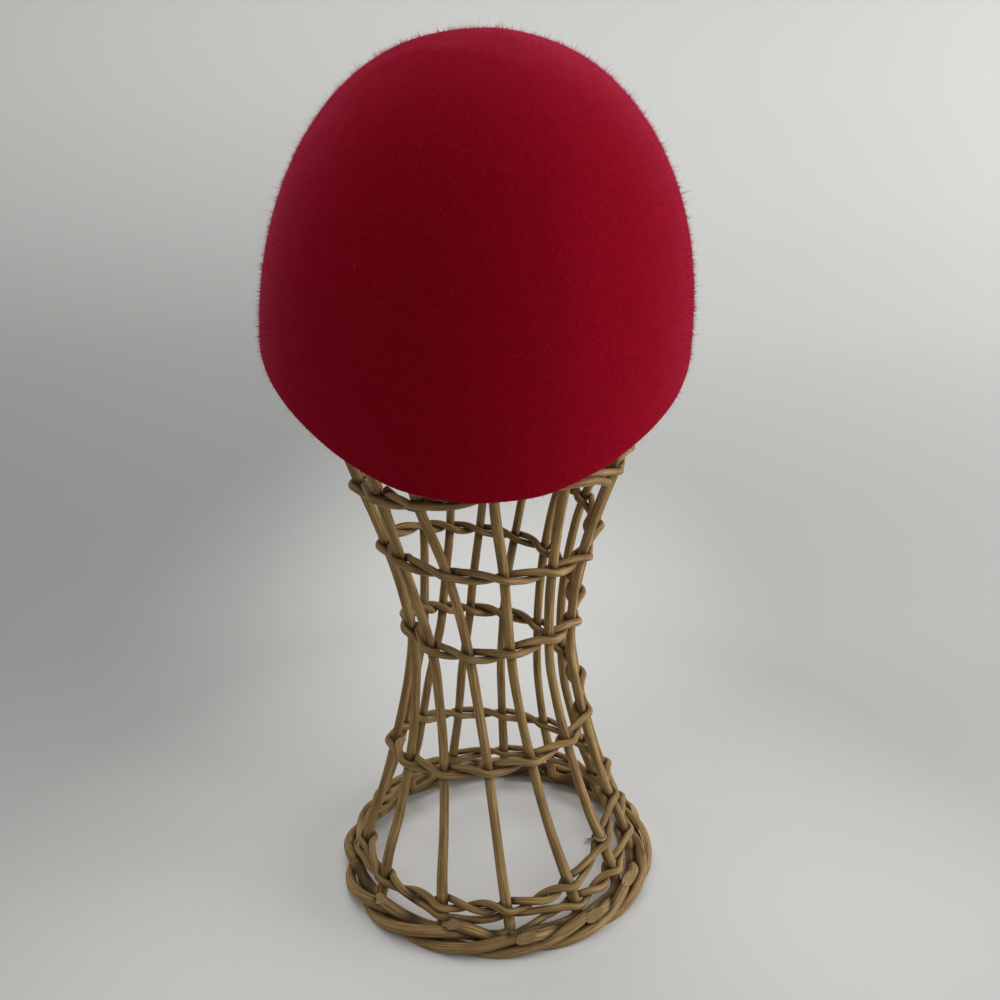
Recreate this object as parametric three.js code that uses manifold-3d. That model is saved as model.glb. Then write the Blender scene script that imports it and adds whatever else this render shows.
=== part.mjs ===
import * as THREE from 'three';
import { mergeVertices } from 'three/addons/utils/BufferGeometryUtils.js';
import Module from 'manifold-3d';

// A felt cap on an open wicker hat stand, in millimetres, +Z up. The foot rests on Z = 0.
// Bearings are degrees round the stand from -Y, growing towards +X. The low nape edge of the cap is at -Y.

// Sizes of the felt cap
const CAP_WIDTH = 180;
const CAP_DEPTH = 196;
const CAP_TOP = 379;
const CAP_WIDEST = 262;
const CAP_FULLNESS = 2.17;
const CAP_WALL = 2;
const CAP_TUCK = 3.5;
const CAP_TUCK_REACH = 55;
const CAP_LEAN = 3.9;
const CAP_SHIFT = -1.8;
const CAP_COLUMNS = 36;
const CAP_ROWS = 11;

// Height of the cut edge at each bearing from the nape, the same on both sides
const CAP_EDGE = [
  { bearing: 0, height: 210.6 },
  { bearing: 15, height: 213.0 },
  { bearing: 30, height: 220.4 },
  { bearing: 45, height: 231.5 },
  { bearing: 60, height: 242.6 },
  { bearing: 75, height: 253.2 },
  { bearing: 90, height: 258.0 },
  { bearing: 130, height: 272.0 },
  { bearing: 180, height: 284.0 },
];

// Soft dents and ridges of the crown: where each one is centred, how far it spreads, how deep it goes
const CAP_FOLDS = [
  { name: 'sunk tip', x: -2, y: 14, spread: 30, depth: 3.0 },
  { name: 'ridge left of the tip', x: -26, y: -30, spread: 15, depth: -0.9 },
  { name: 'ridge in front of the tip', x: 4, y: -34, spread: 16, depth: -1.1 },
  { name: 'ridge right of the tip', x: 34, y: -24, spread: 15, depth: -0.9 },
  { name: 'flat at the right shoulder', x: 66, y: -12, spread: 26, depth: 1.2 },
];

// Sizes of the wicker stand
const STAKE_COUNT = 14;
const STAKE_RADIUS = 2.15;
const STAKE_FOOT = 9.4;
const STAKE_END_RADIUS = 13.9;
const STAKE_SIDES = 5;
const WEAVER_RADIUS = 1.5;
const WEAVER_SIDES = 5;
const WEAVER_CLEARANCE = 0.5;
const WEAVER_CROSSING = 1.95;
const STEPS_PER_STAKE = 3;
const END_GAP = 0.02;
const HEAD_START = 285;
const HEAD_RISE = 86;
const HEAD_RADIUS = 75.5;
const KNOT_RADIUS = 13;
const KNOT_HEIGHT = 9;
const KNOT_SEGMENTS = 10;
const SEAT_GAP = 0.3;

// Half-width of the ring of stakes at each height, from the foot to the widest part of the head
const RING = [
  { height: 8, radius: 66.5 },
  { height: 25, radius: 61.8 },
  { height: 45, radius: 54.0 },
  { height: 75, radius: 45.4 },
  { height: 100, radius: 40.0 },
  { height: 117, radius: 38.0 },
  { height: 130, radius: 38.8 },
  { height: 147, radius: 41.5 },
  { height: 165, radius: 46.0 },
  { height: 182, radius: 51.5 },
  { height: 198, radius: 57.5 },
  { height: 215, radius: 63.2 },
  { height: 235, radius: 69.2 },
  { height: 260, radius: 74.0 },
  { height: HEAD_START, radius: HEAD_RADIUS },
];

// Bearing of each stake at five heights, one row for each stake, from the right side round by the nape
const STAKE_HEIGHTS = { foot: 10, shin: 75, waist: 120, chest: 165, collar: 205 };
const STAKES = [
  { foot: 103, shin: 100, waist: 95, chest: 90, collar: 88 },
  { foot: 80, shin: 77, waist: 73, chest: 63, collar: 62 },
  { foot: 57, shin: 49, waist: 43, chest: 36, collar: 32 },
  { foot: 33, shin: 22, waist: 14, chest: 8, collar: 3 },
  { foot: 5, shin: -3, waist: -13, chest: -22, collar: -29 },
  { foot: -21, shin: -29, waist: -42, chest: -54, collar: -51 },
  { foot: -53, shin: -56, waist: -66, chest: -77, collar: -76 },
  { foot: -78, shin: -88, waist: -96, chest: -103, collar: -108 },
  { foot: -112, shin: -112, waist: -120, chest: -135, collar: -142 },
  { foot: -135, shin: -131, waist: -140, chest: -155, collar: -162 },
  { foot: -158, shin: -158, waist: -164, chest: -175, collar: -182 },
  { foot: -184, shin: -185, waist: -190, chest: -199, collar: -204 },
  { foot: -208, shin: -211, waist: -218, chest: -221, collar: -225 },
  { foot: -235, shin: -235, waist: -243, chest: -243, collar: -249 },
];

// Height of the twined pair of weavers along its way round and down, bearing counted on past each full turn
const WEAVE = [
  { bearing: 170, height: 225 },
  { bearing: 79, height: 209 },
  { bearing: 53, height: 202 },
  { bearing: 0, height: 197 },
  { bearing: -76, height: 197 },
  { bearing: -150, height: 190 },
  { bearing: -235, height: 181 },
  { bearing: -270, height: 172 },
  { bearing: -290, height: 164.5 },
  { bearing: -332, height: 163.5 },
  { bearing: -386, height: 165.5 },
  { bearing: -436, height: 168 },
  { bearing: -534, height: 157 },
  { bearing: -576, height: 151 },
  { bearing: -622, height: 141 },
  { bearing: -646, height: 130.5 },
  { bearing: -686, height: 129 },
  { bearing: -727, height: 125.5 },
  { bearing: -755, height: 125.5 },
  { bearing: -799, height: 130 },
  { bearing: -883, height: 117 },
  { bearing: -939, height: 110 },
  { bearing: -980, height: 96 },
  { bearing: -1008, height: 82 },
  { bearing: -1059, height: 77 },
  { bearing: -1108, height: 71.5 },
  { bearing: -1170, height: 65.5 },
  { bearing: -1245, height: 51 },
  { bearing: -1289, height: 46 },
  { bearing: -1351, height: 27 },
  { bearing: -1385, height: 22.4 },
  { bearing: -1440, height: 20.1 },
  { bearing: -1530, height: 20.1 },
  { bearing: -1620, height: 19.9 },
  { bearing: -1711, height: 16.6 },
  { bearing: -1745, height: 14.0 },
  { bearing: -1800, height: 12.8 },
  { bearing: -1890, height: 12.7 },
  { bearing: -2100, height: 12.6 },
];

// Stakes at which one length of weaver ends and the next begins, counted on past each full turn
const WEAVER_JOINS = [-3, 9, 23, 37, 51, 65, 83];

// Sizes of the rolled border at the foot
const BORDER_CANES = 3;
const BORDER_RADIUS = 71.5;
const BORDER_HEIGHT = 5.0;
const BORDER_CANE_RADIUS = 2.6;
const BORDER_TWIST_RADIUS = 3.4;
const BORDER_TURNS = 5;
const BORDER_STEPS = 45;
const BORDER_SIDES = 5;

const FELT_RED = 0x9c0a2c;
const RATTAN = 0x96723f;

const radians = THREE.MathUtils.degToRad;

// Smooth value through the rows of a table, with no overshoot between them
function through(rows, from, to, at) {
  const rising = rows[rows.length - 1][from] > rows[0][from];
  const list = rising ? rows : [...rows].reverse();
  const slopes = [];
  for (let i = 0; i + 1 < list.length; i += 1) {
    slopes.push((list[i + 1][to] - list[i][to]) / (list[i + 1][from] - list[i][from]));
  }
  const slopeAt = (i) => {
    if (i === 0) return slopes[0];
    if (i === list.length - 1) return slopes[slopes.length - 1];
    const before = slopes[i - 1];
    const after = slopes[i];
    return before * after <= 0 ? 0 : (2 * before * after) / (before + after);
  };
  let i = 0;
  while (i + 2 < list.length && at > list[i + 1][from]) i += 1;
  const span = list[i + 1][from] - list[i][from];
  const t = THREE.MathUtils.clamp((at - list[i][from]) / span, 0, 1);
  const a = (2 * t ** 3 - 3 * t ** 2 + 1) * list[i][to] + (3 * t ** 2 - 2 * t ** 3) * list[i + 1][to];
  const b = (t ** 3 - 2 * t ** 2 + t) * slopeAt(i) + (t ** 3 - t ** 2) * slopeAt(i + 1);
  return a + span * b;
}

// Point at a bearing, a distance from the axis and a height
function onRing(bearing, radius, height) {
  return new THREE.Vector3(radius * Math.sin(radians(bearing)), -radius * Math.cos(radians(bearing)), height);
}

// Closed solid from rings of points, each ring with the same number of points, ends closed to their middles
function skin(rings, looped) {
  const sides = rings[0].length;
  const positions = [];
  const index = [];
  for (const ring of rings) {
    for (const p of ring) positions.push(p.x, p.y, p.z);
  }
  const last = looped ? rings.length : rings.length - 1;
  for (let i = 0; i < last; i += 1) {
    for (let j = 0; j < sides; j += 1) {
      const a = i * sides + j;
      const b = i * sides + ((j + 1) % sides);
      const c = ((i + 1) % rings.length) * sides + j;
      const d = ((i + 1) % rings.length) * sides + ((j + 1) % sides);
      index.push(a, b, d, a, d, c);
    }
  }
  if (!looped) {
    for (let j = 1; j + 1 < sides; j += 1) {
      const end = (rings.length - 1) * sides;
      index.push(0, j + 1, j);
      index.push(end, end + j, end + j + 1);
    }
  }
  const geometry = new THREE.BufferGeometry();
  geometry.setAttribute('position', new THREE.Float32BufferAttribute(positions, 3));
  geometry.setIndex(index);
  return geometry;
}

// Direction of a row of points at one of them, at an end by its next two
function directionAt(points, i, looped) {
  const count = points.length;
  const pick = (n) => points[looped ? (n + count) % count : n];
  if (!looped && (i === 0 || i === count - 1)) {
    const inward = i === 0 ? 1 : -1;
    const near = pick(i + inward).clone().sub(pick(i));
    const far = pick(i + 2 * inward).clone().sub(pick(i));
    return near.multiplyScalar(4).sub(far).multiplyScalar(inward).normalize();
  }
  return pick(i + 1).clone().sub(pick(i - 1)).normalize();
}

// Round cane along a row of points; its sides are turned by the direction that crosses it at each point
function cane(points, crossing, radius, sides, looped) {
  const rings = points.map((p, i) => {
    const along = directionAt(points, i, looped);
    const across = crossing(p).clone();
    across.addScaledVector(along, -across.dot(along)).normalize();
    const other = along.clone().cross(across);
    const ring = [];
    for (let j = 0; j < sides; j += 1) {
      const turn = (2 * Math.PI * j) / sides;
      ring.push(p.clone()
        .addScaledVector(across, radius * Math.cos(turn))
        .addScaledVector(other, radius * Math.sin(turn)));
    }
    return ring;
  });
  return skin(rings, looped);
}

// Height of the cap edge: low at the nape, higher over the brow
function rimHeight(bearing) {
  const fromNape = Math.abs(THREE.MathUtils.euclideanModulo(bearing + 180, 360) - 180);
  return through(CAP_EDGE, 'bearing', 'height', fromNape);
}

// Smooth crown of the cap before its folds, part 0 at the tip and part 1 at the edge
function crownPoint(bearing, part) {
  const rim = rimHeight(bearing);
  const rise = CAP_TOP - CAP_WIDEST;
  const edgeTurn = rim > CAP_WIDEST
    ? Math.acos(((rim - CAP_WIDEST) / rise) ** (CAP_FULLNESS / 2))
    : Math.PI / 2 + (CAP_WIDEST - rim) / rise;
  const turn = edgeTurn * part;
  let size;
  let height;
  if (turn < Math.PI / 2) {
    size = Math.sin(turn) ** (2 / CAP_FULLNESS);
    height = CAP_WIDEST + rise * Math.cos(turn) ** (2 / CAP_FULLNESS);
  } else {
    const below = (turn - Math.PI / 2) * rise;
    size = 1 - (CAP_TUCK / CAP_WIDTH) * 2 * (below / CAP_TUCK_REACH) ** 2;
    height = CAP_WIDEST - below;
  }
  const x = (CAP_WIDTH / 2) * size * Math.sin(radians(bearing));
  const y = (-CAP_DEPTH / 2) * size * Math.cos(radians(bearing));
  return new THREE.Vector3(x, y, height);
}

// Cap surface with its folds, set a little askew on the stand
function capPoint(bearing, part) {
  const p = crownPoint(bearing, part);
  for (const fold of CAP_FOLDS) {
    const away = Math.hypot(p.x - fold.x, p.y - fold.y) / fold.spread;
    const above = Math.max(0, (p.z - CAP_WIDEST) / (CAP_TOP - CAP_WIDEST));
    p.z -= fold.depth * Math.exp(-away * away) * Math.min(1, above * 3);
  }
  const lean = radians(CAP_LEAN);
  const x = CAP_SHIFT + p.x * Math.cos(lean) + (p.z - CAP_WIDEST) * Math.sin(lean);
  const z = CAP_WIDEST - p.x * Math.sin(lean) + (p.z - CAP_WIDEST) * Math.cos(lean);
  return new THREE.Vector3(x, p.y, z);
}

// Direction out of the felt at a point of the cap
function capNormal(bearing, part) {
  if (part === 0) return new THREE.Vector3(Math.sin(radians(CAP_LEAN)), 0, Math.cos(radians(CAP_LEAN)));
  const step = 0.01;
  const down = capPoint(bearing, Math.min(part + step, 1)).sub(capPoint(bearing, part - step));
  const round = capPoint(bearing + 1, part).sub(capPoint(bearing - 1, part));
  return round.cross(down).normalize().negate();
}

// Felt cap: outer skin, inner skin one wall further in, and the cut edge between them
function buildCap() {
  const positions = [];
  const index = [];
  const corner = (layer, row, column) => {
    if (row === 0) return layer;
    return 2 + ((row - 1) * 2 + layer) * CAP_COLUMNS + (column % CAP_COLUMNS);
  };
  const put = (p) => positions.push(p.x, p.y, p.z);
  const tip = capPoint(0, 0);
  put(tip);
  put(tip.clone().addScaledVector(capNormal(0, 0), -CAP_WALL));
  for (let row = 1; row <= CAP_ROWS; row += 1) {
    for (const depth of [0, CAP_WALL]) {
      for (let column = 0; column < CAP_COLUMNS; column += 1) {
        const bearing = (360 * column) / CAP_COLUMNS;
        const part = row / CAP_ROWS;
        put(capPoint(bearing, part).addScaledVector(capNormal(bearing, part), -depth));
      }
    }
  }
  for (let column = 0; column < CAP_COLUMNS; column += 1) {
    index.push(corner(0, 0, 0), corner(0, 1, column), corner(0, 1, column + 1));
    index.push(corner(1, 0, 0), corner(1, 1, column + 1), corner(1, 1, column));
    for (let row = 1; row < CAP_ROWS; row += 1) {
      const outer = [corner(0, row, column), corner(0, row, column + 1)];
      const outerBelow = [corner(0, row + 1, column), corner(0, row + 1, column + 1)];
      index.push(outer[0], outerBelow[0], outerBelow[1], outer[0], outerBelow[1], outer[1]);
      const inner = [corner(1, row, column), corner(1, row, column + 1)];
      const innerBelow = [corner(1, row + 1, column), corner(1, row + 1, column + 1)];
      index.push(inner[0], innerBelow[1], innerBelow[0], inner[0], inner[1], innerBelow[1]);
    }
    const edge = [corner(0, CAP_ROWS, column), corner(0, CAP_ROWS, column + 1)];
    const inside = [corner(1, CAP_ROWS, column), corner(1, CAP_ROWS, column + 1)];
    index.push(edge[0], inside[0], inside[1], edge[0], inside[1], edge[1]);
  }
  const geometry = new THREE.BufferGeometry();
  geometry.setAttribute('position', new THREE.Float32BufferAttribute(positions, 3));
  geometry.setIndex(index);
  return geometry;
}

// Bearing of a stake at a height; stake numbers run on past a full turn
function stakeBearing(number, height) {
  const turns = Math.floor(number / STAKE_COUNT);
  const stake = STAKES[number - turns * STAKE_COUNT];
  const even = STAKES[0].collar - (360 * (number - turns * STAKE_COUNT)) / STAKE_COUNT;
  const rows = Object.entries(STAKE_HEIGHTS).map(([level, at]) => ({ at, bearing: stake[level] }));
  rows.push({ at: HEAD_START + HEAD_RISE, bearing: even });
  return through(rows, 'at', 'bearing', height) - 360 * turns;
}

// Stake: up from the foot border through the waist, then bent over the head to the knot
function stakePoints(number) {
  const stations = [];
  const body = 205;
  const bodySteps = 16;
  const shoulderSteps = 3;
  const headSteps = 5;
  for (let i = 0; i <= bodySteps; i += 1) {
    stations.push(STAKE_FOOT + ((body - STAKE_FOOT) * i) / bodySteps);
  }
  for (let i = 1; i <= shoulderSteps; i += 1) {
    stations.push(body + ((HEAD_START - body) * i) / shoulderSteps);
  }
  const points = stations.map((height) => (
    onRing(stakeBearing(number, height), through(RING, 'height', 'radius', height), height)));
  const lastTurn = Math.acos(STAKE_END_RADIUS / HEAD_RADIUS);
  for (let i = 1; i <= headSteps; i += 1) {
    const turn = (lastTurn * i) / headSteps;
    const height = HEAD_START + HEAD_RISE * Math.sin(turn);
    points.push(onRing(stakeBearing(number, height), HEAD_RADIUS * Math.cos(turn), height));
  }
  return points;
}

// Middle line of the twined pair at a stake count along its way round
function weaveMiddle(count) {
  const whole = Math.floor(count);
  const share = count - whole;
  let height = 120;
  let bearing = 0;
  for (let pass = 0; pass < 6; pass += 1) {
    const here = stakeBearing(whole, height);
    const next = stakeBearing(whole + 1, height);
    bearing = here + share * (next - here);
    height = through(WEAVE, 'bearing', 'height', bearing);
  }
  return { bearing, height, radius: through(RING, 'height', 'radius', height) };
}

// One weaver of the pair: outside a stake, over its partner, inside the next stake, under its partner
function weaverPoint(count, strand) {
  const middle = weaveMiddle(count);
  const place = (m) => onRing(m.bearing, m.radius, m.height);
  const out = onRing(middle.bearing, 1, 0);
  const along = place(weaveMiddle(count + 0.05)).sub(place(weaveMiddle(count - 0.05))).normalize();
  const up = along.clone().cross(out).normalize();
  if (up.z < 0) up.negate();
  const phase = Math.PI * (count + strand);
  const swing = STAKE_RADIUS + WEAVER_RADIUS + WEAVER_CLEARANCE;
  return place(middle)
    .addScaledVector(out, swing * Math.cos(phase))
    .addScaledVector(up, WEAVER_CROSSING * Math.sin(phase));
}

function weaverPoints(from, to, strand) {
  const steps = (to - from) * STEPS_PER_STAKE;
  const points = [];
  for (let i = 0; i <= steps; i += 1) {
    let count = from + i / STEPS_PER_STAKE;
    if (i === 0) count += END_GAP;
    if (i === steps) count -= END_GAP;
    points.push(weaverPoint(count, strand));
  }
  return points;
}

// Border cane: laid round the foot in a rope with its fellows, top to outer side to underside going left
function borderPoints(number) {
  const points = [];
  for (let i = 0; i < BORDER_STEPS; i += 1) {
    const bearing = (360 * i) / BORDER_STEPS;
    const turn = radians(BORDER_TURNS * bearing + (360 * number) / BORDER_CANES);
    const radius = BORDER_RADIUS + BORDER_TWIST_RADIUS * Math.cos(turn);
    points.push(onRing(bearing, radius, BORDER_HEIGHT + BORDER_TWIST_RADIUS * Math.sin(turn)));
  }
  return points;
}

// Knot under the crown, just under the felt, where the stakes meet
function buildKnot() {
  const top = capPoint(0, 0).z - CAP_WALL - SEAT_GAP;
  const profile = [
    new THREE.Vector2(0, top - KNOT_HEIGHT),
    new THREE.Vector2(KNOT_RADIUS - 2, top - KNOT_HEIGHT),
    new THREE.Vector2(KNOT_RADIUS, top - KNOT_HEIGHT / 2),
    new THREE.Vector2(KNOT_RADIUS - 3, top - 1),
    new THREE.Vector2(0, top),
  ];
  const lathe = new THREE.LatheGeometry(profile, KNOT_SEGMENTS);
  lathe.rotateX(Math.PI / 2);
  return lathe;
}

// Solids are trimmed flat where the foot meets the floor
const wasm = await Module();
wasm.setup();

function solid(geometry) {
  const bare = new THREE.BufferGeometry();
  bare.setAttribute('position', geometry.getAttribute('position'));
  bare.setIndex(geometry.getIndex());
  const merged = mergeVertices(bare, 1e-4);
  return new wasm.Manifold(new wasm.Mesh({
    numProp: 3,
    vertProperties: new Float32Array(merged.getAttribute('position').array),
    triVerts: new Uint32Array(merged.getIndex().array),
  }));
}

function geometryOf(manifold) {
  const mesh = manifold.getMesh();
  const geometry = new THREE.BufferGeometry();
  geometry.setAttribute('position', new THREE.Float32BufferAttribute(mesh.vertProperties, 3));
  geometry.setIndex(Array.from(mesh.triVerts));
  return geometry;
}

const group = new THREE.Group();

function add(name, geometry, color, roughness) {
  geometry.computeVertexNormals();
  const material = new THREE.MeshStandardMaterial({ color, roughness, metalness: 0 });
  const mesh = new THREE.Mesh(geometry, material);
  mesh.name = name;
  group.add(mesh);
}

add('felt_cap', buildCap(), FELT_RED, 0.95);

for (let number = 0; number < STAKE_COUNT; number += 1) {
  const sideways = (p) => new THREE.Vector3(-p.y, p.x, 0).normalize();
  const geometry = cane(stakePoints(number), sideways, STAKE_RADIUS, STAKE_SIDES, false);
  add(`stake_${String(number + 1).padStart(2, '0')}`, geometry, RATTAN, 0.6);
}

const upright = () => new THREE.Vector3(0, 0, 1);
for (let length = 0; length + 1 < WEAVER_JOINS.length; length += 1) {
  for (const strand of [0, 1]) {
    const points = weaverPoints(WEAVER_JOINS[length], WEAVER_JOINS[length + 1], strand);
    const geometry = cane(points, upright, WEAVER_RADIUS, WEAVER_SIDES, false);
    add(`weaver_${strand === 0 ? 'a' : 'b'}_${length + 1}`, geometry, RATTAN, 0.6);
  }
}

const floor = new THREE.BoxGeometry(4 * BORDER_RADIUS, 4 * BORDER_RADIUS, 40).translate(0, 0, -20);
for (let number = 0; number < BORDER_CANES; number += 1) {
  const geometry = cane(borderPoints(number), upright, BORDER_CANE_RADIUS, BORDER_SIDES, true);
  add(`foot_cane_${number + 1}`, geometryOf(solid(geometry).subtract(solid(floor))), RATTAN, 0.6);
}

add('crown_knot', buildKnot(), RATTAN, 0.6);

// The whole is centred over the origin, so the axis of the stand is a little off it
const box = new THREE.Box3().setFromObject(group);
const middle = box.getCenter(new THREE.Vector3());
for (const mesh of group.children) mesh.geometry.translate(-middle.x, -middle.y, 0);

export default group;
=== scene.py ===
import math
import random

import bpy
import numpy as np
from mathutils import Matrix, Vector
from mathutils.kdtree import KDTree


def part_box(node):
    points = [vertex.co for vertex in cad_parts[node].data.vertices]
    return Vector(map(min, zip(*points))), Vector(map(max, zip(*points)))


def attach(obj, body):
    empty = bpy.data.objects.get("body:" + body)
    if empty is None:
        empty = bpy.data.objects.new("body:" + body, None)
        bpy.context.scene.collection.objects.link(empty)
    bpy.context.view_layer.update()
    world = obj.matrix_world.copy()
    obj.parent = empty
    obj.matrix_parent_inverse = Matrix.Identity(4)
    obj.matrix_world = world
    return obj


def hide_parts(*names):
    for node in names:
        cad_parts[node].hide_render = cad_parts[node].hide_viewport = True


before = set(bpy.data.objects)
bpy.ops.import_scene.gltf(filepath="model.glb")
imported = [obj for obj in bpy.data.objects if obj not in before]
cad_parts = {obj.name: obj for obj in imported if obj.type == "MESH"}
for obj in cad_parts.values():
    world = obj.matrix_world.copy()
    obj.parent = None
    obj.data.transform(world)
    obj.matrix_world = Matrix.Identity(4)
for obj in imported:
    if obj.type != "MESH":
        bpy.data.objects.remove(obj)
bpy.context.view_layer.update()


# Stakes and rolled border of the stand
# Fourteen rattan canes stand in a ring, drawn in at the waist and bent over to meet under the crown. At the
# foot each one is turned down to the left and rolled round its neighbours, so its own end makes the border.
MM = 0.001
STAKE_COUNT = 14
STAKE_RADIUS = 2.15
STAKE_SIDES = 12
STAKE_STEPS = 96
STAKE_END_RADIUS = 13.9
STOUTER_BELOW = 60
STOUTEST_BELOW = 12
HEAD_START = 285
HEAD_RISE = 86
HEAD_RADIUS = 75.5
HEAD_STEPS = 22
TURN_DOWN_HEIGHT = 9
TURN_DOWN_STEPS = 12
BORDER_RADIUS = 71.5
BORDER_HEIGHT = 5.0
BORDER_CANE_RADIUS = 2.5
BORDER_TWIST_RADIUS = 3.4
BORDER_LEAD = 14
BORDER_REACH = 78
BORDER_STEPS = 64
BORDER_CUT_SLANT = 1.7
BORDER_CUT_OUT = 0.6
BORDER_CUT_UP = 0.8

# How a cane of the border rolls: its angle round its neighbours, from outwards, by the bearing it has gone
BORDER_ROLL = {
    "gone": [0, 29, BORDER_REACH],
    "angle": [140, 0, -231],
}
BORDER_LIFT_START = 0.76

# Half-width of the ring of stakes at each height
RING = {
    "height": [8, 25, 45, 75, 100, 117, 130, 147, 165, 182, 198, 215, 235, 260, HEAD_START],
    "radius": [66.5, 61.8, 54, 45.4, 40, 38, 38.8, 41.5, 46, 51.5, 57.5, 63.2, 69.2, 74, HEAD_RADIUS],
}

# Slight unevenness of a stake: how much it swells in each wave, and the wave's length
STAKE_WAVES = {"share": [0.03, 0.02], "length": [23, 9]}
STAKE_WAVE_STARTS = (0, 6)
STAKE_SEED = 14

# Bearing of each stake at five heights, in degrees from the nape, growing to the right
STAKE_HEIGHTS = [10, 75, 120, 165, 205]
STAKE_BEARINGS = [
    [103, 100, 95, 90, 88],
    [80, 77, 73, 63, 62],
    [57, 49, 43, 36, 32],
    [33, 22, 14, 8, 3],
    [5, -3, -13, -22, -29],
    [-21, -29, -42, -54, -51],
    [-53, -56, -66, -77, -76],
    [-78, -88, -96, -103, -108],
    [-112, -112, -120, -135, -142],
    [-135, -131, -140, -155, -162],
    [-158, -158, -164, -175, -182],
    [-184, -185, -190, -199, -204],
    [-208, -211, -218, -221, -225],
    [-235, -235, -243, -243, -249],
]

# Where the cut ends of the border come to rest, for the stakes whose ends show, and for all others
BORDER_ENDS = {
    0: {"bearing": 9.4, "radius": 75.5, "height": 10.0},
    1: {"bearing": -16.8, "radius": 70.2, "height": 12.2},
    2: {"bearing": -47.5, "radius": 72.4, "height": 11.8},
    3: {"bearing": -76.0, "radius": 69.5, "height": 8.0},
    11: {"bearing": 104.5, "radius": 74.6, "height": 9.0},
    12: {"bearing": 57.4, "radius": 72.9, "height": 11.9},
    13: {"bearing": 35.3, "radius": 74.8, "height": 10.0},
}
BORDER_OTHER_END = {"radius": 70.0, "height": 8.5}

# The knot under the crown stands on the axis of the stand, so its box gives the axis in the frame
knot_low, knot_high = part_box("crown_knot")
STAND_AXIS = np.array([(knot_low.x + knot_high.x) / 2, (knot_low.y + knot_high.y) / 2, 0])


def blend_weights(t):
    """Weights of a smooth step: of its two ends, and of the leads at its two ends."""
    return 2 * t**3 - 3 * t**2 + 1, 3 * t**2 - 2 * t**3, t**3 - 2 * t**2 + t, t**3 - t**2


def through(places, values, at):
    """Smooth value through the rows of a table, with no overshoot between them."""
    places, values = np.asarray(places, float), np.asarray(values, float)
    if places[0] > places[-1]:
        places, values = places[::-1], values[::-1]
    spans = np.diff(places)
    slopes = np.diff(values) / spans
    before, after = slopes[:-1], slopes[1:]
    level = before * after <= 0
    inner = np.where(level, 0, 2 * before * after / np.where(level, 1, before + after))
    leads = np.concatenate([slopes[:1], inner, slopes[-1:]])
    at = np.asarray(at, float)
    row = np.clip(np.searchsorted(places, at) - 1, 0, len(spans) - 1)
    start, end, leave, arrive = blend_weights(np.clip((at - places[row]) / spans[row], 0, 1))
    lead_part = leave * leads[row] + arrive * leads[row + 1]
    return start * values[row] + end * values[row + 1] + spans[row] * lead_part


def unit(vectors):
    """Vectors of length one."""
    return vectors / np.linalg.norm(vectors, axis=-1, keepdims=True)


def on_ring(bearing, radius, height):
    """Points at a bearing, a distance from the axis of the stand and a height, in millimetres."""
    turn = np.radians(bearing)
    return np.stack(np.broadcast_arrays(radius * np.sin(turn), -radius * np.cos(turn), height), -1)


def ease(value, low, high):
    """Soft step from 0 at low to 1 at high."""
    t = np.clip((np.asarray(value, float) - low) / (high - low), 0, 1)
    return t * t * (3 - 2 * t)


def stake_bearing(number, height):
    """Bearing of a stake at a height. Stake numbers run on past a full turn."""
    turns, stake = divmod(number, STAKE_COUNT)
    even = STAKE_BEARINGS[0][-1] - 360 * stake / STAKE_COUNT
    heights = STAKE_HEIGHTS + [HEAD_START + HEAD_RISE]
    return through(heights, STAKE_BEARINGS[stake] + [even], height) - 360 * turns


def stake_upright(number):
    """The standing part of a stake, from its end at the knot down to where it turns into the border."""
    turn = np.linspace(math.acos(STAKE_END_RADIUS / HEAD_RADIUS), 0, HEAD_STEPS)[:-1]
    head_height = HEAD_START + HEAD_RISE * np.sin(turn)
    head = on_ring(stake_bearing(number, head_height), HEAD_RADIUS * np.cos(turn), head_height)
    height = np.linspace(HEAD_START, TURN_DOWN_HEIGHT, STAKE_STEPS)
    radius = through(RING["height"], RING["radius"], height)
    return np.concatenate([head, on_ring(stake_bearing(number, height), radius, height)])


def border_end(number):
    """Cut end of a stake: its bearing, its distance from the axis and its height."""
    start = float(stake_bearing(number, TURN_DOWN_HEIGHT)) - BORDER_LEAD
    end = {"bearing": start - BORDER_REACH, **BORDER_OTHER_END, **BORDER_ENDS.get(number, {})}
    end["bearing"] = start - (start - end["bearing"]) % 360
    return start, end


def stake_in_border(number):
    """The rolled part of a stake: over the top, down the outer side, under, and up again to its cut end."""
    start, end = border_end(number)
    share = np.linspace(0, 1, BORDER_STEPS)
    bearing = start + (end["bearing"] - start) * share
    gone = [*BORDER_ROLL["gone"][:-1], start - end["bearing"]]
    roll = np.radians(through(gone, BORDER_ROLL["angle"], start - bearing))
    lift = ease(share, BORDER_LIFT_START, 1)
    radius = BORDER_RADIUS + BORDER_TWIST_RADIUS * np.cos(roll)
    height = BORDER_HEIGHT + BORDER_TWIST_RADIUS * np.sin(roll)
    radius += (end["radius"] - radius) * lift
    height += (end["height"] - height) * lift
    return on_ring(bearing, radius, height)


def border_cut(number):
    """Slant of a stake's cut end, which faces up and outwards."""
    end = border_end(number)[1]
    return BORDER_CUT_SLANT * on_ring(end["bearing"], BORDER_CUT_OUT, BORDER_CUT_UP)


def bend_between(first, second, steps):
    """Smooth bend from the end of one row of points to the start of the next."""
    reach = np.linalg.norm(second[0] - first[-1])
    leave = unit(first[-1] - first[-2]) * reach
    arrive = unit(second[1] - second[0]) * reach
    weights = blend_weights(np.linspace(0, 1, steps + 2)[1:-1, None])
    return sum(weight * end for weight, end in zip(weights, (first[-1], second[0], leave, arrive)))


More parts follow.
